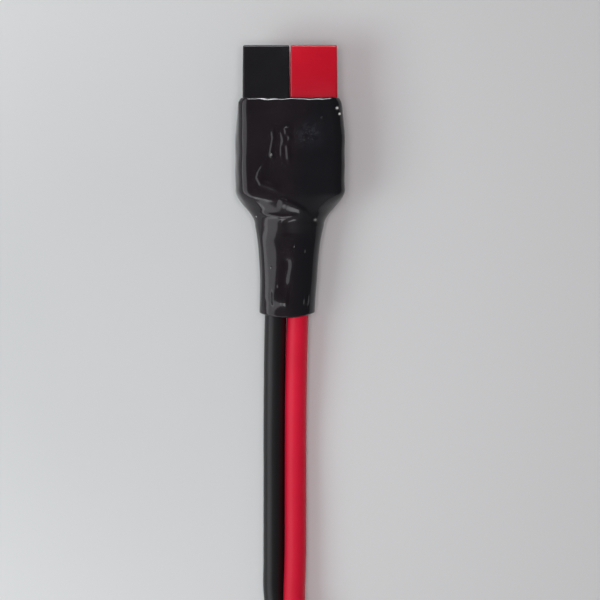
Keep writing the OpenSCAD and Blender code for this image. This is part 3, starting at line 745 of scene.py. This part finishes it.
# %% Sleeve creases
# Each crease: its line of x, y points, its height, and its width left and right of the line's way
CREASES = [
    # thin wrinkles on the flat face
    ([(-2.9, 9.1), (-2.7, 7.1), (-3.1, 4.8), (-3.1, 4.4), (-2.6, 3.2)], 0.18, 0.3, 0.36),
    ([(-1.5, 9.1), (-1.15, 6.9), (-1.35, 5.6), (-1.3, 3.4)], 0.15, 0.3, 0.34),
    ([(-1.0, 9.3), (-0.75, 8.2), (-0.85, 7.2), (-0.95, 5.6)], 0.13, 0.28, 0.34),
    ([(-0.5, 9.9), (-0.4, 7.9), (0.05, 7.2), (-0.4, 6.1), (-0.1, 2.8)], 0.25, 0.36, 0.44),
    ([(-0.1, 9.2), (0.15, 8.4), (0.1, 7.9)], 0.12, 0.3, 0.34),
    ([(2.9, 10.4), (3.1, 8.8)], 0.1, 0.5, 0.45),
    # rear corner of the black housing
    ([(-3.8, 3.5), (-4.5, 2.4), (-5.1, 1.4), (-5.3, 0.6), (-4.8, -0.4), (-3.3, -0.9), (-1.3, -1.8)],
     0.225, 0.75, 0.4),
    # the film sinks between the wires under the shoulder
    ([(-0.6, -6.3), (-0.3, -7.2), (-0.2, -9.2)], -0.25, 1.2, 0.9),
    # folds on the shoulder
    ([(-7.6, -2.5), (-4.6, -2.8), (-1.8, -3.1)], 0.05, 0.5, 0.4),
    ([(-2.2, -3.0), (-0.5, -3.3), (1.0, -4.0), (2.9, -5.2)], 0.26, 0.3, 1.05),
    ([(-5.2, -5.2), (-3.0, -5.6), (-1.2, -5.8), (0.6, -5.7), (1.6, -5.5)], 0.16, 0.3, 0.4),
    # groove along the neck, and a longer shallow one that lets it run out softly
    ([(-0.5, -12.4), (-0.55, -14.4), (-0.9, -16.0), (-1.0, -17.9)], -0.23, 0.8, 0.75),
    ([(-0.5, -12.4), (-0.55, -14.4), (-0.9, -16.0), (-1.1, -19.4)], -0.12, 0.8, 0.75),
    # edge and back of the black wire under the neck
    ([(-5.3, -7.0), (-4.75, -11.0), (-4.55, -14.8), (-4.65, -18.1), (-4.7, -21.5)], 0.1, 0.6, 0.22),
    ([(-2.2, -9.5), (-2.0, -12.5), (-1.95, -18.0), (-2.1, -20.0)], 0.07, 0.7, 0.9),
    # the band near the end of the neck
    ([(-3.3, -19.85), (-1.4, -19.8), (-0.1, -19.95)], 0.43, 1.8, 0.9),
    ([(2.2, -20.1), (3.1, -20.2)], 0.2, 1.0, 0.5),
]
# A crease fades over this share of its line at both ends, down to this share of its height
FADE_SHARE, END_SHARE = 0.2, 0.15


def crease_height(x, y, line, height, left, right):
    """Height of one crease at points x, y: a soft ridge that fades out at both ends of its line."""
    line = np.array(line)
    step = np.diff(line, axis=0)
    length = np.linalg.norm(step, axis=1)
    start = np.concatenate([[0], np.cumsum(length)])
    whole = start[-1]
    best, side, place = np.full(x.shape, 1e9), np.zeros(x.shape), np.zeros(x.shape)
    for p, v, l, s in zip(line, step / length[:, None], length, start):
        t = np.clip((x - p[0]) * v[0] + (y - p[1]) * v[1], 0, l)
        away = np.hypot(x - p[0] - t * v[0], y - p[1] - t * v[1])
        near = away < best
        cross = v[0] * (y - p[1]) - v[1] * (x - p[0])
        best, side = np.where(near, away, best), np.where(near, cross, side)
        place = np.where(near, s + t, place)
    fade = ease(place / (FADE_SHARE * whole)) * ease((whole - place) / (FADE_SHARE * whole))
    width = np.where(side > 0, left, right)
    return height * (END_SHARE + (1 - END_SHARE) * fade) * np.exp(-((best / width) ** 2))


def low_waves(x, y, z):
    """Slow unevenness of the film: a few crossing waves of about 3 to 6 mm."""
    return 0.02 * (np.sin(0.9 * x + 0.6 * y + 1.0) + np.sin(1.4 * y - 0.5 * z + 2.0)
                   + 0.7 * np.sin(1.9 * x - 0.8 * y + 0.4) + 0.6 * np.sin(2.1 * z + 1.1 * y))


def grid_normals(points):
    """Outward normals of the sleeve's grid, which closes on itself both ways."""
    round_way = np.roll(points, -1, 0) - np.roll(points, 1, 0)
    along_way = np.roll(points, -1, 1) - np.roll(points, 1, 1)
    normal = np.cross(round_way, along_way)
    return normal / np.maximum(np.linalg.norm(normal, axis=2, keepdims=True), 1e-12)


normals = grid_normals(sleeve_form)
x, y, z = np.moveaxis(sleeve_form, 2, 0)
rise = sum(crease_height(x, y, *crease) for crease in CREASES)
print("creases:", len(CREASES), "from", round(rise.min(), 3), "to", round(rise.max(), 3), "mm")

# %% [markdown]
# ## The sleeve: specks, lip and end
# Grains of dirt were caught under the film, and some of them carry a pale mark, partly lint and partly a
# painted glint. The mouth's lip is drawn in at its corners, wavy, and rolled down on two stretches, which
# is where it shines. The neck's end is cut in a shallow bow. All this moves the grid's outside by tenths
# of a millimetre, and nothing close to the table.

# %% Shape the sleeve
# Raised specks: x, y, radius, and how much pale lint and painted glint each shows
SPECKS = [
    (7.8, 12.2, 0.24, 1.0), (8.2, 11.25, 0.22, 1.0), (5.3, 10.6, 0.2, 0.02), (-3.1, 4.4, 0.2, 0.2),
    (2.5, -11.6, 0.13, 0.3), (0.7, -10.8, 0.13, 0.15), (-3.2, -14.3, 0.12, 0.3),
    (-1.9, -17.4, 0.2, 0), (4.2, -6.3, 0.22, 0.3), (-8.6, 13.2, 0.2, 0),
]
# pale lint and painted glints go only on specks above this z
SPECK_RISE, LINT_AND_GLINT_ABOVE_Z = 0.75, 4
LIP_X = [-5.5, -4.9, -4.5, -4.1, -3.2, -2.7, -2.3, -1.8, 2.4, 3.0, 5.2, 5.7]
LIP_ROLL = [0, 0.45, 0.7, 1, 1, 0.75, 0.6, 0, 0, 0.4, 0.45, 0]
ROLL_Y, ROLL_DROP = [-0.52, -0.36, -0.23, -0.12], [0, 0.048, 0.06, 0.038]
LIP_L, END_L, END_BOW = 0.6, 3.2, 0.8

# pale marks on the specks: partly lint, partly painted glints
lint_and_glint = np.zeros(x.shape)
for speck_x, speck_y, radius, pale in SPECKS:
    near = np.exp(-((x - speck_x) ** 2 + (y - speck_y) ** 2) / radius ** 2)
    rise += SPECK_RISE * radius * near
    lint_and_glint += pale * ease(1.6 * near - 0.4) * (z > LINT_AND_GLINT_ABOVE_Z)
facing_up = ease((normals[:, :, 2] - 0.1) / 0.4)
unsteady = 1 - 0.75 * ease((REAR_Y - y) / 5)
rise = rise * facing_up + low_waves(x, y, z) * unsteady
outer = 1 - sleeve_inset / WALL
off_table = ease((z - 0.3) / 0.8)
sleeve_shape = sleeve_form + normals * (rise * outer * off_table)[:, :, None]
lip = np.exp(-((MOUTH_Y - y) / LIP_L) ** 2)
rolled = np.interp(x, LIP_X, LIP_ROLL) * np.interp(y - MOUTH_Y, ROLL_Y, ROLL_DROP)
sleeve_shape[:, :, 2] -= rolled * outer * off_table
sleeve_shape[:, :, 0] -= 0.03 * x * lip * ease((np.abs(x) - 7.4) / 1.2) * outer
sleeve_shape[:, :, 1] += lip * (0.05 * np.sin(1.1 * x + 0.8) + 0.03 * np.sin(2.7 * x + 2))
sleeve_shape[:, :, 2] += lip * 0.03 * np.sin(1.9 * x + 0.5) * outer
end = ease((END_Y + END_L - y) / END_L)
sleeve_shape[:, :, 1] += end * END_BOW * ((x - along_route(y, 0)) / NECK_HALF_W) ** 2

sleeve.data.vertices.foreach_set("co", (sleeve_shape * MM).reshape(-1).astype(np.float32))
# the pale marks, lint and painted glints, go on the mesh as a value at each point
pale_points = sleeve.data.attributes.new("lint_and_glint", "FLOAT", "POINT")
pale_points.data.foreach_set("value", lint_and_glint.reshape(-1).astype(np.float32))
sleeve.location = (0, 0, 0)
only(sleeve)
bpy.ops.object.mode_set(mode="EDIT")
bpy.ops.mesh.select_all(action="SELECT")
bpy.ops.mesh.normals_make_consistent(inside=False)
bpy.ops.object.mode_set(mode="OBJECT")
bpy.ops.object.shade_smooth()
sleeve.data.materials.append(SHRINK)
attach(sleeve, "root")
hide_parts("heat_shrink_sleeve")
print("sleeve faces:", len(sleeve.data.polygons), "rise up to", round(rise.max(), 3), "mm")

# %% [markdown]
# ## The strap round the hank
# A strip of hook-and-loop tape holds the folded lead. It goes once round the three runs and laps over
# itself on top. A flat grid has the topology of a strip, and keeps an even UV map for the weave, so its
# rows are walked round the hank and Solidify then gives the tape its thickness.

# %% Strap
STRAP_T, STRAP_W, STRAP_Z = 0.9, 11.0, 4.625
HALF_W, HALF_H, BEND = 6.325, 4.175, 1.3
ROWS, ACROSS = 150, 14


def strap_line():
    """The tape's middle line in x and z: from its hidden end, round the hank, and over itself."""
    line = [(0.4, HALF_H), (2.5, HALF_H)]
    # each corner: its side and height, the angle it starts at, and the point after it
    for sx, sz, start, after in (
        (1, 1, 90, [(HALF_W, 0)]), (1, -1, 0, [(0, -HALF_H)]),
        (-1, -1, -90, [(-HALF_W, 0)]), (-1, 1, 180, []),
    ):
        for turn in np.radians(start - np.linspace(0, 90, 7)):
            out, up = BEND * math.cos(turn), BEND * math.sin(turn)
            line.append((sx * (HALF_W - BEND) + out, sz * (HALF_H - BEND) + up))
        line += after
    line += [(-3.0, HALF_H), (-1.4, HALF_H + 0.12)]
    line += [(x, HALF_H + STRAP_T * ease((x + 1.6) / 1.9)) for x in (-0.7, 0.0, 0.6)]
    line += [(x, HALF_H + STRAP_T) for x in (2.0, 4.0, 5.6)] + [(6.9, HALF_H + STRAP_T - 0.05)]
    return np.array(line)


def even_steps(line, count):
    """The same line with evenly spaced points, and its length."""
    at = np.concatenate([[0], np.cumsum(np.linalg.norm(np.diff(line, axis=0), axis=1))])
    want = np.linspace(0, at[-1], count)
    return np.stack([np.interp(want, at, line[:, k]) for k in (0, 1)], 1), at[-1]


tape, tape_l = even_steps(strap_line(), ROWS + 1)
only()
bpy.ops.mesh.primitive_grid_add(x_subdivisions=ROWS, y_subdivisions=ACROSS, size=1, calc_uvs=True)
strap = bpy.context.object
strap.name = strap.data.name = "hank_tie"
spot = np.zeros(len(strap.data.vertices) * 3, np.float32)
strap.data.vertices.foreach_get("co", spot)
spot = spot.reshape(-1, 3)
row = np.rint((spot[:, 0] + 0.5) * ROWS).astype(int)
across = spot[:, 1] * (STRAP_W - 0.1)
wave = 0.05 * np.sin(row * 0.35) * (np.abs(spot[:, 1]) * 2) ** 3
shaped = np.stack([tape[row, 0], HANK_Y + across, STRAP_Z + tape[row, 1] + wave], 1)
strap.data.vertices.foreach_set("co", (shaped * MM).reshape(-1).astype(np.float32))
only(strap)
thick = strap.modifiers.new("tape", "SOLIDIFY")
thick.thickness, thick.offset, thick.use_even_offset = (STRAP_T - 0.06) * MM, 0.0, True
bpy.ops.object.modifier_apply(modifier="tape")
bpy.ops.object.shade_smooth_by_angle(angle=math.radians(40))
print("strap length:", round(tape_l, 1), "mm,", len(strap.data.polygons), "faces")

# %% [markdown]
# ## The strap's finish
# The tape's outside is a woven band of nylon with a soft pile. Over and under threads are two waves at
# right angles, one shifted by half a thread on every other row, which is what a brick pattern does. The
# pattern follows the tape because it reads the UV map, stretched so that one step is one thread.

# %% Woven tape
THREAD = 0.45


def woven_tape(name, low, high):
    """Woven nylon: low between the threads and high on the pile."""
    material, tree, shader = finish_for(
        name, IOR=1.5, Specular_IOR_Level=0.25, Roughness=0.85, Sheen_Weight=0.25,
    )
    counts = (tape_l / THREAD, STRAP_W / THREAD, 1.0)
    weave = {
        "Vector": with_vector(tree, "MULTIPLY", position(tree, "UV"), counts), "Scale": 1.0,
        "Mortar Size": 0.12, "Mortar Smooth": 1.0, "Brick Width": 2.0, "Row Height": 1.0,
    }
    gaps = add(tree, "ShaderNodeTexBrick", weave, offset=0.5).outputs["Fac"]
    fuzz = place_group(tree, GRAIN, Scale=5200.0, Patch_Scale=700.0)["Grain"]
    pile = compute(tree, "MULTIPLY", compute(tree, "SUBTRACT", 1.0, gaps), fuzz)
    feed(tree, shader, Base_Color=shade(tree, low, high, pile), Normal=bump(tree, pile, 0.9, 0.12))
    return material


strap.data.materials.append(woven_tape("woven_nylon", srgb(24, 24, 26), srgb(74, 74, 78)))
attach(strap, "root")
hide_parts("hank_strap")
print("strap finished:", strap.name)

# %% [markdown]
# ## Giving the wires their coats
# A wire has a real length and thickness, leaves the sleeve at a known point, and ends in the plug. Here
# each wire gets its coat.

for piece, side, coat, slot in (
    (black_wire, -1, BLACK_COAT, "pvc_black"), (red_wire, 1, RED_COAT, "pvc_red"),
):
    piece.data.materials.append(coat)
    print(piece.name, "declared")

# %% [markdown]
# ## The table
# The lead lies on a plain pale table. A big plane will do. Its colour carries painted light and shade: it
# is darker close to the part and paler further off, most of all on the left. Far behind, where the lamps
# no longer reach, the camera sees an even backdrop colour instead. Light Path tells the camera's rays
# from the others, so that this adds no light.

# %% Table
BACKDROP = srgb(204, 204, 205)
TABLE_SIZE, TABLE_Z = 6, -0.00005


def pale_table(name):
    """A matt table top with painted light and shade, which turns into the backdrop far off, for the
    camera alone.
    """
    material, tree, shader = finish_for(name, Roughness=0.9, Specular_IOR_Level=0.2)
    spot = position(tree)

    def outside(x, y, near, far):
        """0 within near of a point and 1 past far, in metres."""
        return ramp(tree, with_vector(tree, "DISTANCE", spot, (x, y, 0.0)), near, far, soft=True)

    tone = place_group(tree, GRAIN, Scale=60.0, Patch_Scale=14.0)["Patches"]
    # painted light and shade across the table: paler to the left, darker to the right
    right = ramp(tree, part(tree, spot, "X"), -0.05, 0.05)
    # painted shade close to the part, and painted light further off
    shaded_near_part = shade(tree, (0.685, 0.697, 0.703, 1), (0.71, 0.717, 0.723, 1), tone)
    painted_light_far_off = shade(tree, (0.805, 0.815, 0.82, 1), (0.69, 0.7, 0.705, 1), right)
    # the painted shade near the part runs out into the painted light further off
    feed(tree, shader, Base_Color=shade(tree, shaded_near_part, painted_light_far_off, outside(-0.03, -0.02, 0.015, 0.07)))
    seen = add(tree, "ShaderNodeLightPath").outputs["Is Camera Ray"]
    far_off = compute(tree, "MULTIPLY", seen, outside(0.0, -0.12, 0.165, 0.34))
    backdrop = add(tree, "ShaderNodeEmission", {"Color": BACKDROP}).outputs["Emission"]
    both = {0: far_off, 1: shader.outputs["BSDF"], 2: backdrop}
    mixed = add(tree, "ShaderNodeMixShader", both).outputs["Shader"]
    feed(tree, tree.nodes["Material Output"], Surface=mixed)
    return material


only()
bpy.ops.mesh.primitive_plane_add(size=TABLE_SIZE, location=(0, 0, TABLE_Z))
floor = bpy.context.object
floor.name = "table"
floor.data.materials.append(pale_table("table_top"))
print("table:", [round(d, 2) for d in floor.dimensions], "m")

# %% [markdown]
# ## The lamps
# Two lamps light the scene: a key on the left, which throws the soft shadow to the right, and a fill
# from above. A glossy film shows the lamps themselves, though, and in the picture it mirrors broad
# panels. So those panels are lamps of their own, seen only in gloss: two on the left for the grey bands
# along the sleeve, one for the shoulder, and a narrow one past the mating end for the bright line on the
# sleeve's mouth. The low left panel ends above the table, and the gap under it is the thin dark line
# along the neck. Kept apart like this, shadows and sheen can be set one at a time.

# %% Lamps
AIM = np.array([0, -0.02, 0])
SHEEN, COOL, WARM = (0.95, 0.96, 1.0), (0.85, 1.0, 0.99), (1.0, 0.925, 0.935)


def panel(name, azimuth, elevation, distance, width, height, power, colour=SHEEN):
    """A soft panel that faces the head of the connector; angles in degrees, sizes in metres."""
    a, e = math.radians(azimuth), math.radians(elevation)
    way = np.array([math.cos(a) * math.cos(e), math.sin(a) * math.cos(e), math.sin(e)])
    turned = (math.pi / 2 - e, 0, a + math.pi / 2)
    bpy.ops.object.light_add(type="AREA", location=way * distance + AIM, rotation=turned)
    lamp = bpy.context.object
    lamp.name = name
    lamp.data.shape, lamp.data.size, lamp.data.size_y = "RECTANGLE", width, height
    lamp.data.energy, lamp.data.color = power, colour
    lamp.visible_camera = False
    return lamp


for lamp in (
    panel("left_sheen_low", 205, 21, 0.55, 1.1, 0.15, 1.15),
    panel("left_sheen_high", 196, 44, 0.55, 1.35, 0.3, 1.73),
    panel("shoulder_sheen", 263, 34, 0.5, 0.1, 0.2, 0.2),
    panel("mouth_sheen", 100, 42, 0.4, 0.22, 0.07, 1.25),
):
    lamp.visible_diffuse = False
for lamp in (
    panel("left_key", 192, 46, 0.3, 0.16, 0.16, 0.31, COOL),
    panel("overhead_fill", 0, 90, 0.5, 0.16, 0.16, 0.9, WARM),
):
    lamp.visible_glossy = False

# %% [markdown]
# ## The room
# The room around is dim, and brighter towards the picture's lower left. It fills the shadows and gives
# the dark film something to mirror. A colour ramp over the direction does it. The camera alone sees the
# backdrop colour instead, as on the far part of the table.

# %% Room
DARK_SIDE = (0.55, 0.83, 0.0)
SKY = [(0.0, (0.6, 0.58, 0.585, 1)), (0.45, (0.22, 0.21, 0.215, 1)), (1.0, (0.14, 0.13, 0.135, 1))]
world = bpy.data.worlds.new("room")
scene.world = world
world.use_nodes = True
tree = world.node_tree
side = with_vector(tree, "DOT_PRODUCT", position(tree, "Generated"), DARK_SIDE)
sky = add(tree, "ShaderNodeValToRGB", {"Fac": ramp(tree, side, -1.0, 1.0)})
sky.color_ramp.elements.new(SKY[1][0])
for stop, (place, colour) in zip(sky.color_ramp.elements, SKY):
    stop.position, stop.color = place, colour
seen = add(tree, "ShaderNodeLightPath").outputs["Is Camera Ray"]
feed(tree, tree.nodes["Background"], Color=shade(tree, sky.outputs["Color"], BACKDROP, seen))
print("room:", len(SKY), "tones of sky")
